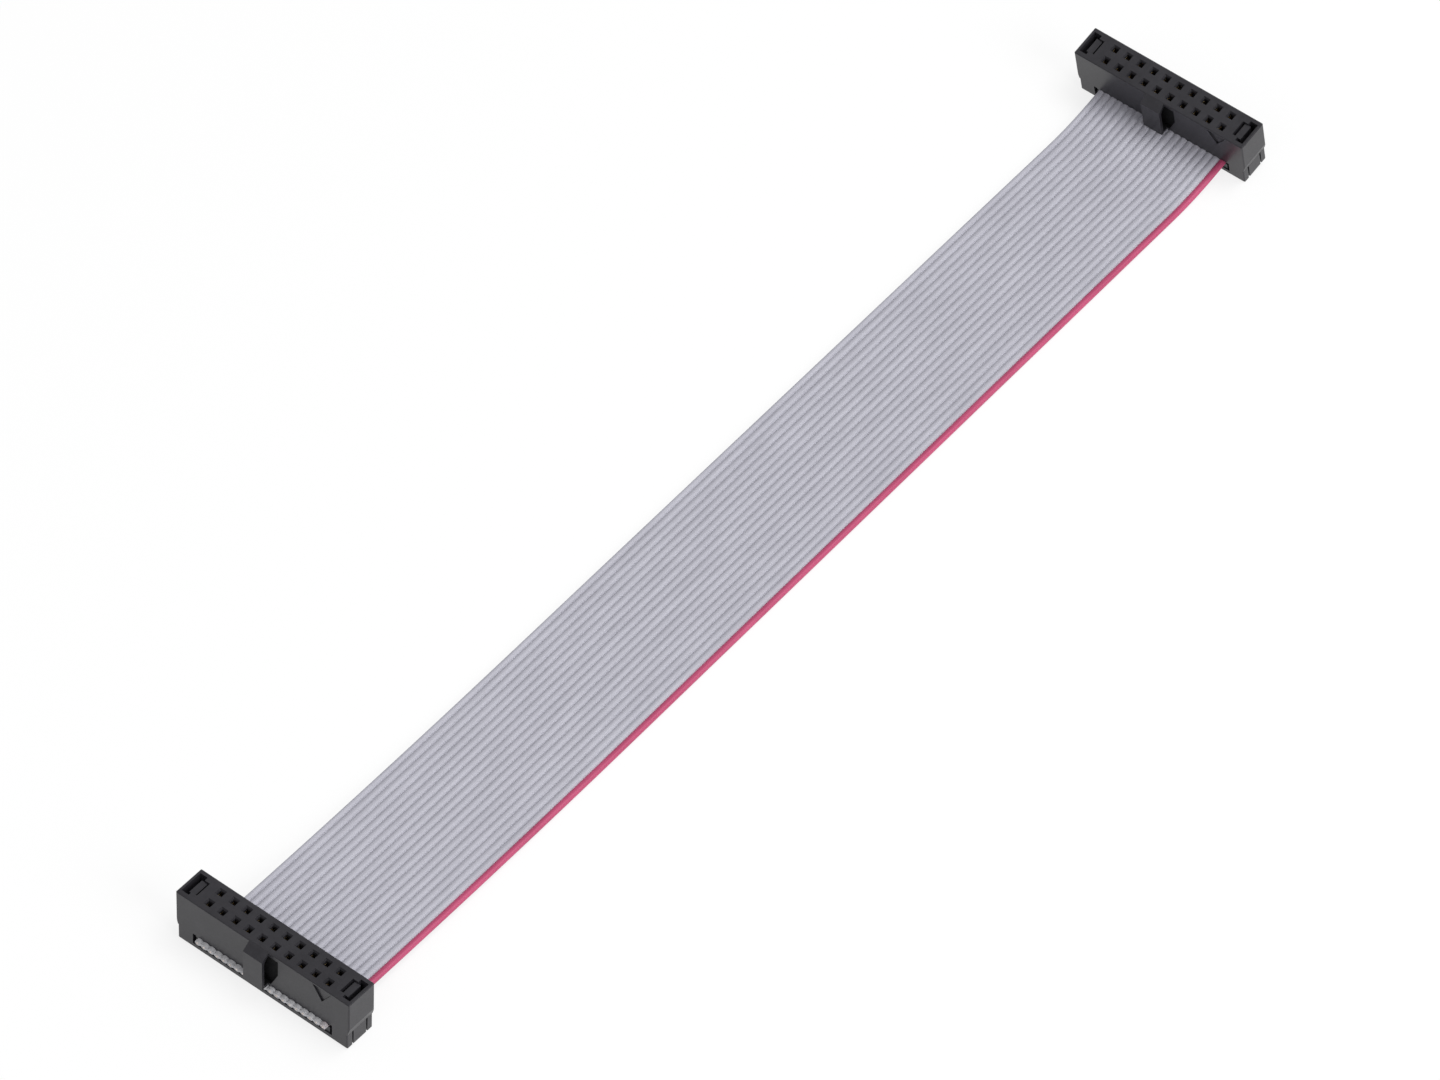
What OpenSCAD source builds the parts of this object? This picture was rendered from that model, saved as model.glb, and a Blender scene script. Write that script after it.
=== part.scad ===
// Flat ribbon cable with an insulation-displacement socket on each end.
// It lies as it was set down: the middle of the ribbon is flat on the surface, and both sockets
// stand mating face up, leaning towards each other on their inner bottom edges, the far one more.
// X runs along the sockets, Y along the ribbon, Z up. The origin is on the surface, midway.

/* [Ribbon] */
// Free length of ribbon between the two sockets
free_len = 213; // [120:1:400]
// Outer diameter of one insulated wire
wire_d = 0.9; // [0.8:0.02:1]
// Diameter of the copper core of one wire
core_d = 0.38; // [0.3:0.02:0.44]
// Thickness of the web that joins two wires
web_t = 0.36; // [0.2:0.02:0.5]
// Length of ribbon that runs straight out of a socket before it bends
straight_out = 3; // [2:0.5:5]
// How far the cut ends stand out of the far side of a socket
stub_len = 0.55; // [0.2:0.05:1]

/* [Socket] */
// Number of contact pairs along a socket
columns = 10; // [5:1:12]
// Spacing of the contacts, along a row and from row to row
pitch = 2.54; // [2.4:0.02:2.8]
// From the centre of the last contact to the end of the socket
end_margin = 5.17; // [5:0.01:6]
// Depth of the socket body across its two rows
body_d = 5.7; // [5.4:0.1:7]
// Height from the underside of the cover to the mating face
body_h = 10.1; // [9.8:0.1:12]
// Height of the ribbon's middle above the underside of the cover
ribbon_h = 2.25; // [2.1:0.05:2.4]
// Height of the joint between cover and housing at both ends
joint_h = 3; // [2.9:0.05:3.4]
// How far the lower part of the ends is set in
end_inset = 0.35; // [0.1:0.05:0.5]
// Height over which the ends slope inwards
end_slope = 1.4; // [0.8:0.1:2]
// Rounding of the upright edges
edge_r = 0.25; // [0.1:0.05:0.5]
// Chamfer of the mating face and of the underside
edge_c = 0.15; // [0.05:0.05:0.3]
// How far the near socket leans from upright, in degrees
near_lean = 3; // [2.5:0.5:8]
// How far the far socket leans from upright, in degrees
far_lean = 12; // [6:0.5:14]

/* [Pin holes] */
// Side of a square pin hole
hole_w = 0.9; // [0.75:0.05:1.1]
// Side of the hole's funnel at the mating face
funnel_w = 1.3; // [1.2:0.05:1.6]
// Depth of the funnel
funnel_h = 0.35; // [0.2:0.05:0.5]
// Thickness of the wall between the mating face and a contact's chamber
roof_t = 0.8; // [0.6:0.05:1.2]

/* [Key] */
// Width of the polarising key
key_w = 3.65; // [3:0.05:4.5]
// How far the key stands out
key_out = 1.4; // [1:0.1:2]
// From the middle of the socket to the middle of the key, to the left
key_left = 0.62; // [0:0.02:1.5]
// Height of the sloping lead-in on top of the key
key_lead = 1.25; // [0.6:0.05:2]
// Gap between the ribbon and the bottom of the key
key_gap = 0.1; // [0.05:0.05:0.6]
// Wall of the hollow key
key_wall = 0.5; // [0.3:0.05:0.8]
// Width of the window beside the key
window_w = 1.85; // [1:0.05:2.5]
// Width of the window's level lower edge, from which its slope rises
window_foot = 0.5; // [0.2:0.05:1]
// Depth of the window into the wall
window_deep = 0.6; // [0.3:0.05:0.8]
// Drop of the window's top edge below the mating face
window_top = 0.8; // [0.6:0.05:1.2]
// Height of the window's right edge
window_h = 3; // [2:0.1:4]

/* [Latches] */
// Wall outside the end pocket
pocket_wall = 0.5; // [0.4:0.05:0.8]
// Width of the pocket outside the latch arm
pocket_w = 0.9; // [0.6:0.05:1.1]
// Length of the pocket across the socket
pocket_l = 4.2; // [3.4:0.1:4.6]
// Depth of the pocket to the ledge that the latch hooks over
pocket_deep = 3.7; // [3:0.1:4.5]
// Thickness of a latch arm
arm_t = 1.1; // [0.8:0.05:1.2]
// Width of a latch arm
arm_w = 2.8; // [1.8:0.1:3]
// Room for the arm to bend inwards
arm_room = 0.4; // [0.3:0.05:0.5]
// How far the arm ends below the mating face
arm_drop = 0.35; // [0.1:0.05:1]
// How far the latch hook stands out of its arm
hook_out = 0.4; // [0.2:0.05:0.5]
// Height of the latch hook
hook_h = 1.2; // [0.8:0.1:2]
// Width of the slits beside the foot of an arm
slit_w = 0.3; // [0.15:0.05:0.4]
// Spacing of those two slits
slit_gap = 3.1; // [2.2:0.1:3.4]

/* [Contacts] */
// Thickness of the contact's sheet metal
sheet_t = 0.25; // [0.2:0.01:0.3]
// Width of one tine of the fork that straddles a core
tine_w = 0.44; // [0.35:0.01:0.5]
// How far the tines reach below the ribbon's middle
tine_reach = 1.05; // [0.8:0.05:1.15]
// Height of the fork's slot above the ribbon's middle
slot_rise = 0.65; // [0.55:0.05:0.8]
// Height of the shoulder that holds the contact in its chamber
shoulder_h = 0.6; // [0.4:0.05:0.8]
// Thickness of a spring beam
beam_t = 0.2; // [0.15:0.01:0.25]
// Width of a spring beam
beam_w = 0.9; // [0.6:0.05:1]
// Gap between the beams at their feet
beam_foot = 0.84; // [0.7:0.02:0.9]
// Gap between the beams where they grip a pin
beam_grip = 0.5; // [0.4:0.02:0.6]
// Gap between the ends of the beams
beam_mouth = 0.84; // [0.7:0.02:0.9]

/* [Hidden] */
// Steps in a full circle of a rounding or a wire, and of a bend in the ribbon
round_fn = 48;
bend_fn = 720;
$fn = round_fn;
// Overlap of a cutting shape past the face that it opens
over = 1;
// How much slimmer the wires are inside a socket, where the grooves squeeze them
squeeze = 0.01;
// How far a squeezed lead reaches into the bend that it runs on from
lead_lap = 0.05;
// Clearances: arm in its channel, hook over its ledge, tine in its slot
arm_gap = 0.05;
hook_gap = 0.05;
tine_gap = 0.05;
// Clearance between the end of a beam and the roof of its chamber
roof_gap = 0.1;
// Width and depth of a contact's chamber, and its longer reach at the fork's side
chamber_w = 1.7;
chamber_d = 1.24;
chamber_fork = 1.3;
// Height of the fork's shoulder above the cover joint
shoulder_rise = 1.3;
// Setback of the grooved combs from the long faces, and their reach past the ribbon
comb_back = 0.15;
comb_reach = 0.35;
// Space between a comb and the end blocks
comb_end_gap = 0.5;
// Thickness of the cover's plate below its comb
plate_t = 0.85;
// Pin 1 triangle: width, height, depth, drop below the mating face
mark_w = 3.6;
mark_h = 2.7;
mark_deep = 0.25;
mark_drop = 0.35;
// Height of the rise in a beam from its foot, and the length of its grip
beam_rise = 1.4;
grip_len = 0.2;
mouth_h = 0.7;
// Height of the flat neck above the shoulder
neck_h = 0.7;

ways = 2 * columns;
wire_pitch = pitch / 2;
body_l = (columns - 1) * pitch + 2 * end_margin;
ribbon_w = (ways - 1) * wire_pitch + wire_d;
comb_l = ribbon_w + 2 * comb_reach;
block_x = comb_l / 2 + comb_end_gap;
low_l = body_l - 2 * end_inset;
// Distances from the middle of the socket to the pocket and both faces of a latch arm
pocket_x = body_l / 2 - pocket_wall;
arm_x2 = pocket_x - pocket_w;
arm_x1 = arm_x2 - arm_t;
ledge_z = body_h - pocket_deep;
// Levels of a contact: tips, shoulder, roof of the chamber
tip_z = ribbon_h - tine_reach;
shoulder_z = joint_h + shoulder_rise;
step_z = shoulder_z + shoulder_h;
roof_z = body_h - roof_t;
// Middle of a contact's fork from the middle of its pin hole
fork_x = wire_pitch / 2;
tine_out = core_d / 2 + tine_w;
// Front of the contact's flat part from the middle of its pin hole
flat_y = -beam_w / 2;
key_z = ribbon_h + wire_d / 2 + key_gap;
key_x1 = -key_left - key_w / 2;
key_x2 = key_x1 + key_w;

// The ribbon's route: straight out of a socket, one bend, then flat on the surface.
// Its radius and its flat stretch are rounded to 0.01 mm, so that one ends where the next begins.
function hundredth(v) = round(100 * v) / 100;
// A bend's radius is the one that brings a ribbon leaning by this many degrees to the surface.
function bend_r(lean) =
    hundredth((ribbon_h * cos(lean) - straight_out * sin(lean) - wire_d / 2) / (1 - cos(lean)));
function bend_len(lean) = bend_r(lean) * lean * PI / 180;
// From the flat stretch to the edge that a socket rests on
function bend_reach(lean) = (bend_r(lean) + ribbon_h) * sin(lean) + straight_out * cos(lean);
flat_len = hundredth(free_len - 2 * straight_out - bend_len(near_lean) - bend_len(far_lean));
// How far the near key and the far cut ends stand past the resting edges
near_out = (body_d + key_out) * cos(near_lean) - key_z * sin(near_lean);
far_out = (body_d + stub_len) * cos(far_lean) - (ribbon_h - wire_d / 2) * sin(far_lean);
// Ends of the flat stretch that put the middle of the whole at the origin, and the resting edges
near_reach = bend_reach(near_lean);
far_reach = bend_reach(far_lean);
flat_near = hundredth((near_reach + near_out - flat_len - far_reach - far_out) / 2);
flat_far = flat_near + flat_len;
near_rest = flat_near - near_reach;
far_rest = flat_far + far_reach;

function two(n) = str(n < 10 ? "0" : "", n);
function pin_x(n) = ((columns - 1) / 2 - floor((n - 1) / 2)) * pitch;
function wire_x(n) = ((ways + 1) / 2 - n) * wire_pitch;

// Places a socket modelled upright, with its underside at height 0 and the key at the front.
module near_place() {
    translate([0, near_rest, 0]) rotate([-near_lean, 0, 0]) translate([0, -body_d / 2, 0]) children();
}

module far_place() {
    translate([0, far_rest, 0]) rotate([far_lean, 0, 0]) translate([0, body_d / 2, 0]) children();
}

// A profile in X and Z, extruded along Y between two faces.
module along_y(y1, y2) {
    translate([0, y2, 0]) rotate([90, 0, 0]) linear_extrude(y2 - y1) children();
}

// A profile in Y and Z, extruded along X between two faces.
module along_x(x1, x2) {
    translate([x1, 0, 0]) rotate([90, 0, 90]) linear_extrude(x2 - x1) children();
}

// A rectangle with rounded corners, centred.
module round_rect(l, d, r) {
    square([l - 2 * r, d], center = true);
    square([l, d - 2 * r], center = true);
    for (x = [-1, 1], y = [-1, 1]) translate([x * (l / 2 - r), y * (d / 2 - r)]) circle(r);
}

// Both ends of a socket.
module both_ends() {
    for (side = [0, 1]) mirror([side, 0, 0]) children();
}

// A contact's place in its socket: odd ways in the front row, even ways behind, turned round.
module contact_place(n) {
    odd = n % 2 == 1;
    translate([pin_x(n), odd ? -pitch / 2 : pitch / 2, 0]) rotate([0, 0, odd ? 0 : 180]) children();
}

// Outer shape of the housing, without key and comb.
module housing_block() {
    intersection() {
        translate([0, 0, joint_h]) linear_extrude(body_h - joint_h) round_rect(body_l, body_d, edge_r);
        along_y(-body_d / 2, body_d / 2) polygon([
            [-low_l / 2, joint_h], [low_l / 2, joint_h],
            [body_l / 2, joint_h + end_slope], [body_l / 2, body_h - edge_c],
            [body_l / 2 - edge_c, body_h], [edge_c - body_l / 2, body_h],
            [-body_l / 2, body_h - edge_c], [-body_l / 2, joint_h + end_slope]
        ]);
        along_x(-body_l / 2, body_l / 2) polygon([
            [-body_d / 2, joint_h], [body_d / 2, joint_h],
            [body_d / 2, body_h - edge_c], [body_d / 2 - edge_c, body_h],
            [edge_c - body_d / 2, body_h], [-body_d / 2, body_h - edge_c]
        ]);
    }
}

// Round grooves for the wires, cut from both combs.
module wire_grooves() {
    for (n = [1 : ways])
        translate([wire_x(n), body_d, ribbon_h]) rotate([90, 0, 0])
            cylinder(r = wire_d / 2, h = 2 * body_d);
}

// Side outline of the key, drawn smaller by the wall for its hollow.
module key_outline(wall) {
    front = -body_d / 2 - key_out + wall;
    polygon([
        [front, key_z + wall], [window_deep - body_d / 2, key_z + wall],
        [window_deep - body_d / 2, body_h - window_top],
        [-body_d / 2, body_h - edge_c - wall], [front, body_h - key_lead - wall]
    ]);
}

module key() {
    along_x(key_x1, key_x2) key_outline(0);
}

// The hollow inside the key opens to its right, into the window beside it.
module key_hollow() {
    top = body_h - window_top;
    along_x(key_x1 + key_wall, key_x2 + window_foot) intersection() {
        key_outline(key_wall);
        translate([-body_d, 0]) square([body_d, top]);
    }
    along_y(-body_d / 2 - over, window_deep - body_d / 2) polygon([
        [key_x2 + window_foot / 2, key_z + key_wall], [key_x2 + window_foot, key_z + key_wall],
        [key_x2 + window_w, top - window_h], [key_x2 + window_w, top],
        [key_x2 + window_foot / 2, top]
    ]);
}

// A square hole with a square funnel, cut down from the mating face.
module pin_hole() {
    translate([-hole_w / 2, -hole_w / 2, roof_z - over]) cube([hole_w, hole_w, roof_t + 2 * over]);
    intersection() {
        along_y(-funnel_w, funnel_w) funnel_outline();
        along_x(-funnel_w, funnel_w) funnel_outline();
    }
}

module funnel_outline() {
    polygon([
        [-hole_w / 2, body_h - funnel_h], [hole_w / 2, body_h - funnel_h],
        [funnel_w / 2, body_h], [funnel_w / 2, body_h + over],
        [-funnel_w / 2, body_h + over], [-funnel_w / 2, body_h]
    ]);
}

// The chamber that a contact is pushed into from below, wider where the fork is.
module chamber() {
    translate([-chamber_w / 2, -chamber_d / 2, 0]) cube([chamber_w, chamber_d, roof_z]);
    translate([0, -chamber_d / 2, 0]) cube([chamber_fork, chamber_d, step_z]);
}

// Channel and pocket of one latch arm, at the right end.
module latch_pocket() {
    translate([arm_x1 - arm_room, -arm_w / 2 - arm_gap, joint_h - over])
        cube([arm_room + arm_t + arm_gap, arm_w + 2 * arm_gap, body_h]);
    translate([arm_x2 - over / 2, -pocket_l / 2, ledge_z]) cube([over / 2 + pocket_w, pocket_l, body_h]);
}

// The sunk triangle under the mating face that marks pin 1.
module pin_mark() {
    along_y(-body_d / 2 - over, mark_deep - body_d / 2) translate([pin_x(1), body_h - mark_drop])
        polygon([[-mark_w / 2, 0], [mark_w / 2, 0], [0, -mark_h]]);
}

module housing() {
    comb_z = ribbon_h + web_t / 2;
    difference() {
        union() {
            housing_block();
            translate([-comb_l / 2, comb_back - body_d / 2, comb_z])
                cube([comb_l, body_d - 2 * comb_back, joint_h - comb_z + edge_c]);
            key();
        }
        wire_grooves();
        key_hollow();
        pin_mark();
        both_ends() latch_pocket();
        for (n = [1 : ways]) contact_place(n) {
            chamber();
            pin_hole();
        }
    }
}

// One latch arm with its hook, at the right end.
module latch_arm() {
    along_y(-arm_w / 2, arm_w / 2) polygon([
        [arm_x1, plate_t], [arm_x2, plate_t], [arm_x2, ledge_z + hook_gap],
        [arm_x2 + hook_out, ledge_z + hook_gap], [arm_x2, ledge_z + hook_gap + hook_h],
        [arm_x2, body_h - arm_drop], [arm_x1, body_h - arm_drop]
    ]);
}

// Slots in the cover that take the tips of one contact's fork.
module tine_slots() {
    l = tine_w + 2 * tine_gap;
    for (side = [-1, 1])
        translate([fork_x + side * (core_d + tine_w) / 2 - l / 2, flat_y - tine_gap, tip_z - tine_gap])
            cube([l, sheet_t + 2 * tine_gap, body_h]);
}

module cover() {
    comb_z = ribbon_h - web_t / 2;
    difference() {
        union() {
            intersection() {
                linear_extrude(joint_h) round_rect(low_l, body_d, edge_r);
                along_x(-body_l, body_l) polygon([
                    [edge_c - body_d / 2, 0], [body_d / 2 - edge_c, 0], [body_d / 2, edge_c],
                    [body_d / 2, joint_h], [-body_d / 2, joint_h], [-body_d / 2, edge_c]
                ]);
            }
            both_ends() latch_arm();
        }
        difference() {
            translate([-block_x, -body_d, plate_t]) cube([2 * block_x, 2 * body_d, joint_h]);
            translate([-comb_l / 2, comb_back - body_d / 2, 0])
                cube([comb_l, body_d - 2 * comb_back, comb_z]);
        }
        wire_grooves();
        for (n = [1 : ways]) contact_place(n) tine_slots();
        both_ends() for (y = [-1, 1])
            translate([arm_x2, y * slit_gap / 2 - slit_w / 2, -over])
                cube([body_l, slit_w, joint_h + over]);
    }
}

// One contact, stamped and folded: a fork below, a shoulder, and two spring beams above.
module contact() {
    tip = tine_w / 2;
    along_y(flat_y, flat_y + sheet_t) difference() {
        union() {
            translate([fork_x - tine_out, tip_z]) square([2 * tine_out, step_z - tip_z]);
            translate([-chamber_w / 2, shoulder_z]) square([chamber_w / 2 + chamber_fork, shoulder_h]);
            translate([-beam_foot / 2 - beam_t, shoulder_z])
                square([beam_foot + 2 * beam_t, shoulder_h + neck_h]);
        }
        translate([fork_x - core_d / 2, tip_z - over]) square([core_d, over + tine_reach + slot_rise]);
        translate([fork_x, ribbon_h + slot_rise]) circle(core_d / 2);
        for (side = [-1, 1]) translate([fork_x, tip_z]) polygon([
            [side * tine_out, tip], [side * (tine_out + over), tip], [side * (tine_out + over), -over],
            [side * (core_d / 2), -over], [side * (core_d / 2), 0], [side * (tine_out - tip), 0]
        ]);
    }
    for (side = [0, 1]) mirror([side, 0, 0]) along_y(flat_y, flat_y + beam_w) beam_outline();
}

// One spring beam from its foot on the shoulder, in to its grip and out again at the mouth.
module beam_outline() {
    top = roof_z - roof_gap;
    line = [
        [beam_foot / 2, step_z - beam_t], [beam_foot / 2, step_z + beam_rise],
        [beam_grip / 2, top - mouth_h - grip_len], [beam_grip / 2, top - mouth_h], [beam_mouth / 2, top]
    ];
    polygon(concat(line, [for (i = [4 : -1 : 0]) line[i] + [beam_t, 0]]));
}

// Carries a profile along the free ribbon: the flat stretch and a bend at both of its ends.
// X runs across the ribbon, Y through its thickness.
module along_free() {
    translate([0, flat_far, wire_d / 2]) rotate([90, 0, 0]) linear_extrude(flat_len) children();
    translate([0, flat_near, 0]) bend(near_lean) children();
    translate([0, flat_far, 0]) mirror([0, 1, 0]) bend(far_lean) children();
}

// Carries a profile up one bend, from the flat stretch towards the near socket.
module bend(lean) {
    translate([0, 0, wire_d / 2 + bend_r(lean)]) rotate([180, 90, 0])
        rotate_extrude(angle = lean, $fn = bend_fn) translate([bend_r(lean), 0])
                rotate(-90, $fn = round_fn) children();
}

// Carries a profile straight through both sockets, as far as the bends.
module along_leads() {
    near_place() lead() children();
    far_place() mirror([0, 1, 0]) lead() children();
}

module lead() {
    translate([0, 0, ribbon_h])
        along_y(-body_d / 2 - stub_len, body_d / 2 + straight_out + lead_lap) children();
}

// The two tines of every contact, cut through the insulation in both sockets.
module tine_cuts() {
    for (n = [1 : ways]) contact_place(n) for (side = [-1, 1])
        translate([fork_x + side * (core_d + tine_w) / 2, flat_y + sheet_t / 2, ribbon_h])
            cube([tine_w, sheet_t, wire_d + 2 * over], center = true);
}

// Section of the grey insulation, made slimmer by the squeeze.
module jacket_section(slim) {
    difference() {
        union() {
            square([(ways - 1) * wire_pitch, web_t - 2 * slim], center = true);
            for (n = [2 : ways]) translate([wire_x(n), 0]) circle(wire_d / 2 - slim);
        }
        translate([wire_x(1), 0]) circle(wire_d / 2 + slim);
        for (n = [2 : ways]) translate([wire_x(n), 0]) circle(core_d / 2 + slim / 2);
    }
}

// Section of the edge wire's insulation.
module marked_section(slim) {
    translate([wire_x(1), 0]) difference() {
        circle(wire_d / 2 - slim);
        circle(core_d / 2 + slim / 2);
    }
}

module core_section(slim) {
    for (n = [1 : ways]) translate([wire_x(n), 0]) circle(core_d / 2 - slim / 2);
}

module near_housing() { color([0.12, 0.12, 0.13]) near_place() housing(); }
module far_housing() { color([0.12, 0.12, 0.13]) far_place() housing(); }
module near_cover() { color([0.14, 0.14, 0.15]) near_place() cover(); }
module far_cover() { color([0.14, 0.14, 0.15]) far_place() cover(); }
module near_contact(n) { color([0.8, 0.72, 0.5]) near_place() contact_place(n) contact(); }
module far_contact(n) { color([0.8, 0.72, 0.5]) far_place() contact_place(n) contact(); }

// Grey insulation of all wires but the first, in one piece with the webs.
module ribbon_jacket() {
    color([0.72, 0.72, 0.75]) difference() {
        union() {
            along_free() jacket_section(0);
            along_leads() jacket_section(squeeze);
        }
        near_place() tine_cuts();
        far_place() tine_cuts();
    }
}

// Coloured insulation of the edge wire, which marks way 1.
module marked_wire() {
    color([0.78, 0.24, 0.42]) difference() {
        union() {
            along_free() marked_section(0);
            along_leads() marked_section(squeeze);
        }
        near_place() tine_cuts();
        far_place() tine_cuts();
    }
}

// The copper cores, one in each wire.
module wire_cores() {
    color([0.8, 0.5, 0.3]) {
        along_free() core_section(0);
        along_leads() core_section(squeeze);
    }
}

near_housing();
near_cover();
far_housing();
far_cover();
ribbon_jacket();
marked_wire();
wire_cores();
for (n = [1 : ways]) near_contact(n);
for (n = [1 : ways]) far_contact(n);
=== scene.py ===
"""A flat ribbon cable of twenty wires with a black socket on each end, lying as it was set down.
All lengths are in metres. X runs along the sockets, Y along the ribbon, Z up."""

import math

import bpy
import numpy as np
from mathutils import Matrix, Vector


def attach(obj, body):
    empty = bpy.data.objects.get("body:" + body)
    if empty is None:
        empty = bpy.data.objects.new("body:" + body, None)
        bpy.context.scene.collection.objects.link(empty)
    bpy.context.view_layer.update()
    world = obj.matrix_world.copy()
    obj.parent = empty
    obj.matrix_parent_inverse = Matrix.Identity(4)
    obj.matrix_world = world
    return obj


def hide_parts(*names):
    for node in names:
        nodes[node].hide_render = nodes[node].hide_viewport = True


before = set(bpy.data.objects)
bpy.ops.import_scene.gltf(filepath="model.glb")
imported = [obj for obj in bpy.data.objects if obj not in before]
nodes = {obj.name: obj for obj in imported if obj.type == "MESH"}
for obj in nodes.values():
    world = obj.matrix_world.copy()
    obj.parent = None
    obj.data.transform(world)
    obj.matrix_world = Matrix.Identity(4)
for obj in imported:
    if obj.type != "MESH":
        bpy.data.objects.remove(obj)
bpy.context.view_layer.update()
scene = bpy.context.scene

# Values of the source, in metres and radians.
WAYS = 20
WIRE_PITCH = 0.00127
WIRE_R = 0.00045
CORE_R = 0.00019
NEAR_LEAN, FAR_LEAN = math.radians(3), math.radians(12)
BODY_DEPTH = 0.0057
KEY_OUT = 0.0014
# Length of the ribbon from socket to socket, and of its straight stretch at each of them.
FREE = 0.213
STRAIGHT = 0.003
# Height of the ribbon in an upright socket, and how far its cut ends stand out in the window.
RIBBON_H = 0.00225
STUB = 0.00055
INSIDE = BODY_DEPTH + STUB
# Where the flat stretch begins, along Y.
FLAT_NEAR = -0.04036


def wire_x(way):
    """The place of one wire across the ribbon; way 1 is the outermost on the right."""
    return ((WAYS + 1) / 2 - way) * WIRE_PITCH


# The camera stands where the photograph was taken from.

camera_data = bpy.data.cameras.new("camera")
camera_data.sensor_width = 36
camera_data.lens = 201.925
camera_data.clip_start = 0.05
camera_data.clip_end = 20
camera = bpy.data.objects.new("camera", camera_data)
camera.location = (0.490305, -0.621715, 0.945343)
camera.rotation_euler = [math.radians(a) for a in (39.9216, -0.2326, 38.7777)]
scene.collection.objects.link(camera)
scene.camera = camera


# Meshes.

def add_mesh(name, points, faces, smooth=True):
    """A mesh object from an array of points and a list of faces, at the origin."""
    data = bpy.data.meshes.new(name)
    data.from_pydata(points.tolist(), [], faces)
    data.polygons.foreach_set("use_smooth", np.full(len(data.polygons), smooth))
    data.update()
    piece = bpy.data.objects.new(name, data)
    scene.collection.objects.link(piece)
    return piece


def bend_radius(lean):
    """The radius of the bend that brings the ribbon down to the surface from a socket with this
    lean: what is left to drop after the straight stretch, over one less the lean's cosine. It is
    rounded to 0.01 mm, as in the source."""
    drop = RIBBON_H * math.cos(lean) - STRAIGHT * math.sin(lean) - WIRE_R
    return round(drop / (1 - math.cos(lean)), 5)


def bend_reach(radius, lean):
    """How far along Y the edge that a socket rests on stands from the flat stretch."""
    return (radius + RIBBON_H) * math.sin(lean) + STRAIGHT * math.cos(lean)


NEAR_BEND_R, FAR_BEND_R = bend_radius(NEAR_LEAN), bend_radius(FAR_LEAN)
NEAR_BEND, FAR_BEND = NEAR_BEND_R * NEAR_LEAN, FAR_BEND_R * FAR_LEAN
FLAT_LEN = round(FREE - 2 * STRAIGHT - NEAR_BEND - FAR_BEND, 5)
NEAR_REST = FLAT_NEAR - bend_reach(NEAR_BEND_R, NEAR_LEAN)
FAR_REST = FLAT_NEAR + FLAT_LEN + bend_reach(FAR_BEND_R, FAR_LEAN)
# Arc lengths from the near exit to the near bend, the flat stretch, the far bend and its end.
S_NEAR, S_FLAT = STRAIGHT, STRAIGHT + NEAR_BEND
S_FAR = S_FLAT + FLAT_LEN
S_END = S_FAR + FAR_BEND


def route(s):
    """The middle line of the ribbon at arc length s from the near exit. From the flat stretch it
    bends up on a circle at both ends and runs on straight through the sockets. Returns the place
    along Y, the height and the slope angle, which is negative where the ribbon comes down."""
    down = np.clip((S_FLAT - s) / NEAR_BEND_R, 0, NEAR_LEAN)
    up = np.clip((s - S_FAR) / FAR_BEND_R, 0, FAR_LEAN)
    before, after = np.clip(S_NEAR - s, 0, None), np.clip(s - S_END, 0, None)
    y = (FLAT_NEAR + np.clip(s - S_FLAT, 0, FLAT_LEN)
         - NEAR_BEND_R * np.sin(down) - before * np.cos(NEAR_LEAN)
         + FAR_BEND_R * np.sin(up) + after * np.cos(FAR_LEAN))
    z = (WIRE_R + NEAR_BEND_R * (1 - np.cos(down)) + before * np.sin(NEAR_LEAN)
         + FAR_BEND_R * (1 - np.cos(up)) + after * np.sin(FAR_LEAN))
    return y, z, up - down


def stations(short):
    """Arc lengths of the rings, closer together in the far bend and in the sockets. The first and
    the last stand back from the cut ends by this much."""
    stops = [short - INSIDE, -STUB, 0, S_NEAR, S_FLAT, S_FAR, S_END, FREE, FREE + INSIDE - short]
    rings = [3, 2, 3, 20, 40, 12, 3, 5]
    spans = [np.linspace(a, b, n, endpoint=False) for a, b, n in zip(stops, stops[1:], rings)]
    return np.concatenate([*spans, stops[-1:]])


def sweep(name, section, s):
    """Carries a closed section along the route. The section's points are (across, through), and
    each ring stands at right angles to the route. Both ends are closed with a face. The UV map
    holds the place across the ribbon and the length along it."""
    y, z, slope = route(s)
    across, through = section[:, 0], section[:, 1]
    n, m = len(s), len(section)
    points = np.empty((n, m, 3))
    points[:, :, 0] = across
    points[:, :, 1] = y[:, None] - through * np.sin(slope)[:, None]
    points[:, :, 2] = z[:, None] + through * np.cos(slope)[:, None]
    i, j = np.meshgrid(np.arange(n - 1), np.arange(m), indexing="ij")
    k = (j + 1) % m
    quads = np.stack([i * m + j, (i + 1) * m + j, (i + 1) * m + k, i * m + k], -1)
    faces = quads.reshape(-1, 4).tolist()
    faces += [list(range(m)), list(range(n * m - 1, (n - 1) * m - 1, -1))]
    piece = add_mesh(name, points.reshape(-1, 3), faces)
    corners = np.empty(len(piece.data.loops), dtype=np.int32)
    piece.data.loops.foreach_get("vertex_index", corners)
    place = np.stack([np.tile(across, n), np.repeat(s, m)], 1)[corners]
    layer = piece.data.uv_layers.new(name="lengthwise")
    layer.data.foreach_set("uv", place.ravel())
    return piece


# Half the width of the ellipse round a wire, and half the thickness of the web.
LOBE_HALF = 0.00061
WEB_HALF = 0.00013
# From the middle of the edge wire to its outer side, a little more than to its top.
RIM_HALF = 0.0005
# How far the grey web reaches past the valley, into the edge wire.
TONGUE = 0.00008
# Where the points on top of a wire stand on its ellipse, from one valley to the next.
LOBE_ANGLES = np.radians(np.linspace(14, 166, 13))


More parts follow.
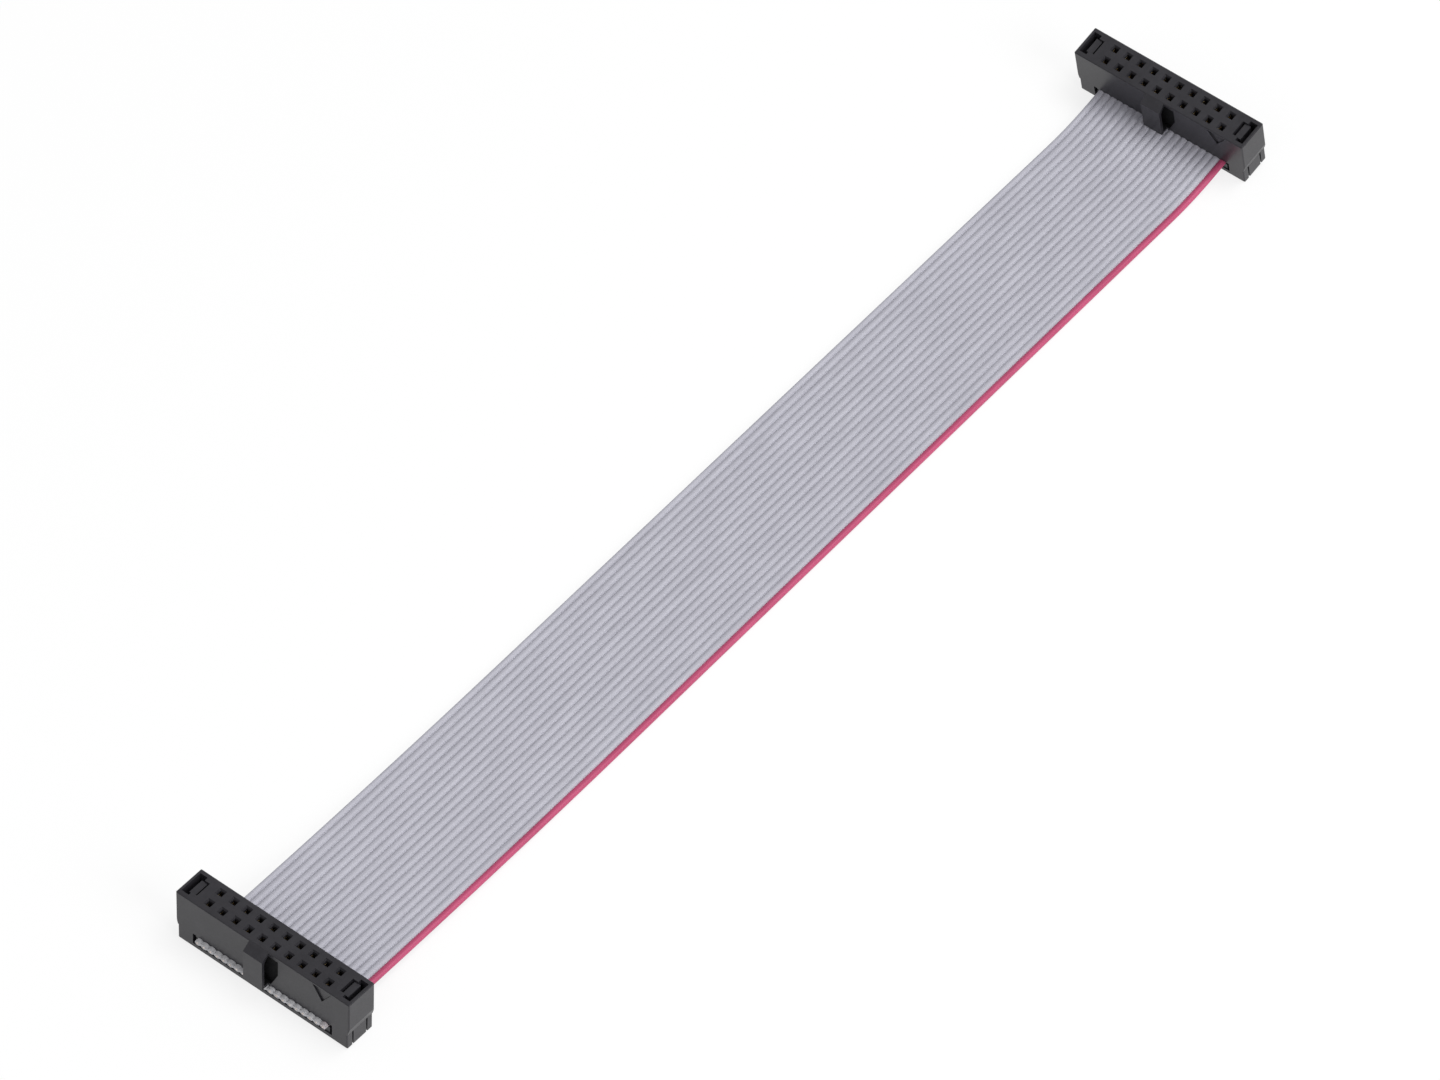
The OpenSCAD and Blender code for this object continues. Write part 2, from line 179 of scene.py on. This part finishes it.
def half_thickness(offset):
    """Half the thickness of the ribbon this far from the middle of a wire. A wire is half an
    ellipse above and below, slightly wider than high, and the web fills the valley between two
    wires: the half thickness is the power mean of ellipse and web."""
    ellipse = WIRE_R * np.sqrt(np.clip(1 - (offset / LOBE_HALF)**2, 0, None))
    return np.minimum((ellipse**4 + WEB_HALF**4)**0.25, WIRE_R)


def grey_section():
    """The outline of nineteen wires side by side: lobes on top, half a circle round the last wire
    and the same lobes below. At the other side the web narrows to a tongue in the edge wire."""
    last, valley = wire_x(WAYS), wire_x(1) - WIRE_PITCH / 2
    offsets = np.concatenate([LOBE_HALF * np.cos(LOBE_ANGLES), [-WIRE_PITCH / 2]])
    x = wire_x(2) - WIRE_PITCH * np.arange(WAYS - 1)[:, None] + offsets
    half = np.broadcast_to(half_thickness(offsets), x.shape)
    inner = x > last
    top = np.stack([x[inner], half[inner]], 1)
    turn = np.radians(np.linspace(90, 270, 17))
    outer = np.stack([last + WIRE_R * np.cos(turn), WIRE_R * np.sin(turn)], 1)
    tongue = np.array([[valley + TONGUE, 0.6 * WEB_HALF], [valley, 0.9 * WEB_HALF]])
    upper = np.concatenate([tongue, top])
    return np.concatenate([upper, outer, upper[::-1] * [1, -1]])


def edge_section():
    """The outline of the edge wire: half a lobe from the valley beside it to its middle, then half
    an ellipse round its outer side, and half a lobe back below."""
    offsets = np.concatenate([[-WIRE_PITCH / 2], LOBE_HALF * np.cos(LOBE_ANGLES[:6:-1])])
    top = np.stack([wire_x(1) + offsets, half_thickness(offsets)], 1)
    turn = np.radians(np.linspace(90, -90, 19))
    outer = np.stack([wire_x(1) + RIM_HALF * np.cos(turn), WIRE_R * np.sin(turn)], 1)
    return np.concatenate([top, outer, top[::-1] * [1, -1]])[::-1]


# The insulation stands back a little at the cut, so that the copper stands out of it.
CUT_BACK = 0.00004

jacket = sweep("ribbon_insulation", grey_section(), stations(CUT_BACK))
edge_wire = sweep("edge_wire_insulation", edge_section(), stations(CUT_BACK))


# Cords.


ribbon_middle = (wire_x(2) + wire_x(WAYS)) / 2
ribbon_width = (WAYS - 1) * WIRE_PITCH + 2 * WIRE_R
for piece, x, width, finish_slot, solid in (
        (jacket, ribbon_middle, ribbon_width, "grey_insulation", "ribbon_jacket"),
        (edge_wire, wire_x(1), 2 * WIRE_R, "marked_insulation", "marked_wire")):
    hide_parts(solid)
    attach(piece, "root")


# Copper strands at the cut ends.

STRAND_SIDES = 8
# How far a strand reaches back from the cut, its edge stands out and its middle stands out.
STRAND_ROOT = 0.0001
STRAND_OUT = 0.000012
STRAND_DOME = 0.00002


def strand_ends():
    """Seven thin rods at each end of each wire: one in the middle and six round it, each two
    radii away, so that all seven touch inside the core. A rod is a ring of eight points at its
    root and at its tip, and one point in the middle of the domed tip. Places are first worked out
    across and through the ribbon, and then laid in the plane of the cut."""
    thin = CORE_R / 3
    six = np.radians(60 * np.arange(6) + 12)
    spots = np.concatenate([[[0, 0]], 2 * thin * np.stack([np.cos(six), np.sin(six)], 1)])
    ring = 2 * np.pi * np.arange(STRAND_SIDES) / STRAND_SIDES
    rim = thin * np.stack([np.cos(ring), np.sin(ring)], 1)
    wires = np.stack([wire_x(np.arange(1, WAYS + 1)), np.zeros(WAYS)], 1)
    middles = (wires[:, None] + spots)[:, :, None]
    rims = middles + rim
    rods = []
    for outwards, s in ((-1, -INSIDE), (1, FREE + INSIDE)):
        y, z, slope = route(s)
        cut = np.array([0, y, z])
        plane = np.array([[1, 0, 0], [0, -np.sin(slope), np.cos(slope)]])
        along = outwards * np.array([0, np.cos(slope), np.sin(slope)])
        edge, crown = cut + rims @ plane, cut + middles @ plane
        rods.append(np.concatenate([edge - along * STRAND_ROOT, edge + along * STRAND_OUT,
                                    crown + along * STRAND_DOME], 2))
    rods = np.stack(rods).reshape(-1, 2 * STRAND_SIDES + 1, 3)
    i = np.arange(STRAND_SIDES)
    k = (i + 1) % STRAND_SIDES
    sheath = np.stack([i, k, k + STRAND_SIDES, i + STRAND_SIDES], 1)
    dome = np.stack([i + STRAND_SIDES, k + STRAND_SIDES, np.full_like(i, 2 * STRAND_SIDES)], 1)
    base = i[None, ::-1]
    starts = rods.shape[1] * np.arange(len(rods))
    near, far = np.split(starts[:, None, None], 2)
    # The far rods look the other way, so their faces are numbered the other way round.
    faces = []
    for block in (sheath, dome, base):
        for numbers in (near + block, far + block[:, ::-1]):
            faces += numbers.reshape(-1, block.shape[1]).tolist()
    return add_mesh("strand_ends", rods.reshape(-1, 3), faces)


strands = strand_ends()
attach(strands, "root")

FLOOR_HALF = 8
FLOOR_Z = -0.0001
floor_corners = [[x * FLOOR_HALF, y * FLOOR_HALF, FLOOR_Z]
                 for x, y in ((-1, -1), (1, -1), (1, 1), (-1, 1))]
floor = add_mesh("floor", np.array(floor_corners), [[0, 1, 2, 3]], smooth=False)


# Materials.

# A noise pattern keeps mostly to its middle, so tones and roughness are spread between these.
TONES_FROM = (0.35, 0.65)
ROUGHNESS_FROM = (0.3, 0.7)


class Nodes:
    """The node tree of a new material, with short calls for the nodes used here."""

    def __init__(self, name):
        self.material = bpy.data.materials.new(name)
        self.material.use_nodes = True
        self.tree = self.material.node_tree
        self.shader = self.tree.nodes["Principled BSDF"]

    def add(self, kind, links=(), **values):
        """A new node. Each value goes to the input of that name, or else to the property."""
        node = self.tree.nodes.new(kind)
        for key, value in values.items():
            if key in node.inputs:
                node.inputs[key].default_value = value
            else:
                setattr(node, key, value)
        for socket, source in dict(links).items():
            self.feed(node.inputs[socket], source)
        return node

    def feed(self, socket, value):
        """Sets a socket to a number or a colour, or links it to another node's output."""
        if isinstance(value, (int, float)):
            socket.default_value = value
        elif isinstance(value, tuple):
            socket.default_value = (*value, 1)
        else:
            self.tree.links.new(value, socket)

    def place(self):
        return self.add("ShaderNodeTexCoord").outputs["Object"]

    def scaled(self, vector, scale):
        return self.add("ShaderNodeMapping", {"Vector": vector}, Scale=scale).outputs["Vector"]

    def noise(self, vector, scale, detail=3.0):
        """A cloudy pattern from nought to one. On a place in metres, scale is patches per metre."""
        return self.add("ShaderNodeTexNoise", {"Vector": vector}, Scale=scale,
                        Detail=detail).outputs["Fac"]

    def tones(self, pattern, dark, light):
        """The colour between a dark and a light tone that the pattern gives."""
        node = self.add("ShaderNodeValToRGB", {"Fac": pattern})
        for element, at, colour in zip(node.color_ramp.elements, TONES_FROM, (dark, light)):
            element.position = at
            element.color = (*colour, 1)
        return node.outputs["Color"]

    def spread(self, value, low, high, out_low, out_high):
        node = self.add("ShaderNodeMapRange", {"Value": value})
        for key, number in (("From Min", low), ("From Max", high), ("To Min", out_low),
                            ("To Max", out_high)):
            node.inputs[key].default_value = number
        return node.outputs["Result"]

    def math(self, operation, *operands):
        node = self.add("ShaderNodeMath", operation=operation)
        for socket, value in zip(node.inputs, operands):
            self.feed(socket, value)
        return node.outputs["Value"]

    def mix(self, factor, a, b):
        node = self.add("ShaderNodeMix", data_type="RGBA")
        self.feed(node.inputs[0], factor)
        colours = [s for s in node.inputs if s.type == "RGBA"]
        for socket, value in zip(colours, (a, b)):
            self.feed(socket, value)
        return [s for s in node.outputs if s.type == "RGBA"][0]

    def bump(self, height, strength, distance):
        return self.add("ShaderNodeBump", {"Height": height}, Strength=strength,
                        Distance=distance).outputs["Normal"]

    def finish(self, colour, rough, normal, specular=None, metallic=0):
        """Links the three patterns to the shader and returns the material."""
        for key, source in (("Base Color", colour), ("Roughness", rough), ("Normal", normal)):
            self.feed(self.shader.inputs[key], source)
        if specular is not None:
            self.shader.inputs["Specular IOR Level"].default_value = specular
        self.shader.inputs["Metallic"].default_value = metallic
        return self.material


# The lowest and the highest corner of the space inside the key and of the window beside it, a
# hair wider than the real space. Within these two boxes the colour is painted shade. X runs from
# the middle of the socket, Y from the key's front and Z from the resting edge.
SHADED_KEY_HOLLOW = ((-0.00197, 0.00048, 0.0032), (0.00119, 0.00202, 0.0092))
SHADED_KEY_WINDOW = ((0.0011, 0.00144, 0.0032), (0.00312, 0.00202, 0.00932))

PLASTIC_DARK, PLASTIC_LIGHT = (0.0195, 0.0185, 0.0225), (0.028, 0.027, 0.032)
# Painted shade: the nearly black colour given inside the key and its window.
HOLLOW_PAINTED_SHADE = (0.004, 0.004, 0.005)


def inside(tree, place, corners, front):
    """One inside the box between two corners, whose Y starts at the key's front; nought outside."""
    split = tree.add("ShaderNodeSeparateXYZ", {"Vector": place})
    product = None
    for axis, low, high, start in zip("XYZ", *corners, (0, front, 0)):
        value = split.outputs[axis]
        step = tree.math("MULTIPLY", tree.math("GREATER_THAN", value, start + low),
                         tree.math("LESS_THAN", value, start + high))
        product = step if product is None else tree.math("MULTIPLY", product, step)
    return product


def moulded_plastic_and_key_shade(name, lean, rest, front):
    """Black glass-filled plastic: slow shade changes and a fine grain. Inside the key and the
    window beside it the colour is painted shade, nearly black, and the surface is rougher. The
    socket's lean and the Y of its resting edge bring a place back to the upright socket, in which
    the key's front stands at the Y called front."""
    tree = Nodes(name)
    place = tree.place()
    broad = tree.noise(place, 220)
    cloud = tree.noise(place, 1500, 4)
    pattern = tree.math("ADD", tree.math("MULTIPLY", broad, 0.6), tree.math("MULTIPLY", cloud, 0.4))
    upright = tree.add("ShaderNodeMapping", {"Vector": place}, vector_type="TEXTURE",
                       Location=(0, rest, 0), Rotation=(lean, 0, 0)).outputs["Vector"]
    # Mask of the space inside the key and its window, where the colour is painted shade.
    hollow_shade = tree.math("MAXIMUM", inside(tree, upright, SHADED_KEY_HOLLOW, front),
                       inside(tree, upright, SHADED_KEY_WINDOW, front))
    shade = tree.tones(pattern, PLASTIC_DARK, PLASTIC_LIGHT)
    grain = tree.noise(place, 11000, 2)
    rough = tree.math("MAXIMUM", tree.spread(grain, *ROUGHNESS_FROM, 0.3, 0.44),
                      tree.math("MULTIPLY", hollow_shade, 0.95))
    # Painted shade: inside the key the plastic's tone gives way to the nearly black shade colour.
    return tree.finish(tree.mix(hollow_shade, shade, HOLLOW_PAINTED_SHADE), rough,
                       tree.bump(grain, 0.2, 0.00001), specular=0.38)


# Length over which the insulation's colour changes to that of the stubs.
FADE = 0.0008


def insulation(name, dark, light, cut_tone):
    """Soft flexible insulation: streaks along each wire, slow shade changes from wire to wire, and
    one tone on the short stubs past the body, where it is cut."""
    tree = Nodes(name)
    uv = tree.add("ShaderNodeUVMap", uv_map="lengthwise").outputs["UV"]
    streak = tree.noise(tree.scaled(uv, (9000, 60, 1)), 1)
    patch = tree.noise(tree.scaled(uv, (500, 90, 1)), 1)
    pattern = tree.math("ADD", tree.math("MULTIPLY", streak, 0.4), tree.math("MULTIPLY", patch, 0.6))
    length = tree.add("ShaderNodeSeparateXYZ", {"Vector": uv}).outputs["Y"]
    from_middle = tree.math("ABSOLUTE", tree.math("SUBTRACT", length, FREE / 2))
    body_end = FREE / 2 + BODY_DEPTH
    stub = tree.spread(from_middle, body_end - FADE, body_end, 0, 1)
    return tree.finish(tree.mix(stub, tree.tones(pattern, dark, light), cut_tone),
                       tree.spread(streak, *ROUGHNESS_FROM, 0.42, 0.56),
                       tree.bump(pattern, 0.3, 0.00001), specular=0.4)


def metal(name, dark, light, stains, rough):
    """Bare metal with slow stains, this many to the metre, and fine scratches."""
    tree = Nodes(name)
    place = tree.place()
    scratch = tree.noise(tree.scaled(place, (20000, 20000, 2500)), 1, 2)
    return tree.finish(tree.tones(tree.noise(place, stains), dark, light),
                       tree.spread(scratch, *ROUGHNESS_FROM, rough - 0.08, rough + 0.08),
                       tree.bump(scratch, 0.1, 0.000005), metallic=1)


def put_on(piece, material):
    piece.data.materials.clear()
    piece.data.materials.append(material)


near_black = moulded_plastic_and_key_shade("near_socket_black", -NEAR_LEAN, NEAR_REST, -BODY_DEPTH - KEY_OUT)
far_black = moulded_plastic_and_key_shade("far_socket_black", FAR_LEAN, FAR_REST, -KEY_OUT)
grey_coat = insulation("grey_insulation", (0.385, 0.382, 0.434), (0.443, 0.44, 0.497),
                       (0.48, 0.48, 0.5))
edge_coat = insulation("edge_insulation", (0.4, 0.055, 0.13), (0.5, 0.075, 0.17),
                       (0.47, 0.435, 0.455))
spring_metal = metal("spring_metal", (0.66, 0.5, 0.26), (0.83, 0.66, 0.36), 900, 0.28)
copper = metal("core_copper", (0.66, 0.56, 0.5), (0.74, 0.68, 0.64), 2600, 0.35)

for name, node in nodes.items():
    if "contact" in name:
        put_on(node, spring_metal)
    elif name.startswith("near"):
        put_on(node, near_black)
    elif name.startswith("far"):
        put_on(node, far_black)
put_on(nodes["wire_cores"], copper)
put_on(strands, copper)
put_on(jacket, grey_coat)
put_on(edge_wire, edge_coat)


# Light and background.

def floor_white(seen):
    """Matt white that takes the object's shadow. Seen by the camera or in a reflection, it is
    white with only a faint part of that shadow, which seen gives."""
    tree = Nodes("floor_white")
    tree.shader.inputs["Base Color"].default_value = (0.92, 0.92, 0.92, 1)
    tree.shader.inputs["Roughness"].default_value = 1
    tree.shader.inputs["Specular IOR Level"].default_value = 0
    ray = tree.add("ShaderNodeLightPath").outputs
    bright = tree.math("MAXIMUM", ray["Is Camera Ray"],
                       tree.math("MAXIMUM", ray["Is Glossy Ray"], ray["Is Transmission Ray"]))
    glow = tree.add("ShaderNodeEmission").outputs["Emission"]
    both = tree.add("ShaderNodeMixShader", {"Fac": tree.math("MULTIPLY", bright, 1 - seen),
                                            1: tree.shader.outputs["BSDF"], 2: glow})
    tree.feed(tree.tree.nodes["Material Output"].inputs["Surface"], both.outputs["Shader"])
    return tree.material


put_on(floor, floor_white(0.2))


def softbox(name, place, size, power):
    """A square lamp that looks at the middle of the ribbon."""
    lamp = bpy.data.lights.new(name, "AREA")
    lamp.shape = "SQUARE"
    lamp.size = size
    lamp.energy = power
    box = bpy.data.objects.new(name, lamp)
    box.location = place
    box.rotation_euler = Vector(place).to_track_quat("Z", "Y").to_euler()
    scene.collection.objects.link(box)


softbox("softbox_right", (1.5, -0.1, 0.9), 0.9, 13.5)
softbox("softbox_front", (0.2, -1.6, 1.3), 1.0, 5)
softbox("softbox_above", (0.45, 0.5, 1.8), 1.0, 18.5)

world = bpy.data.worlds.new("studio")
world.use_nodes = True
scene.world = world
sky = world.node_tree.nodes["Background"]
sky.inputs["Color"].default_value = (1, 1, 1, 1)
sky.inputs["Strength"].default_value = 0.4

scene.view_settings.view_transform = "Standard"
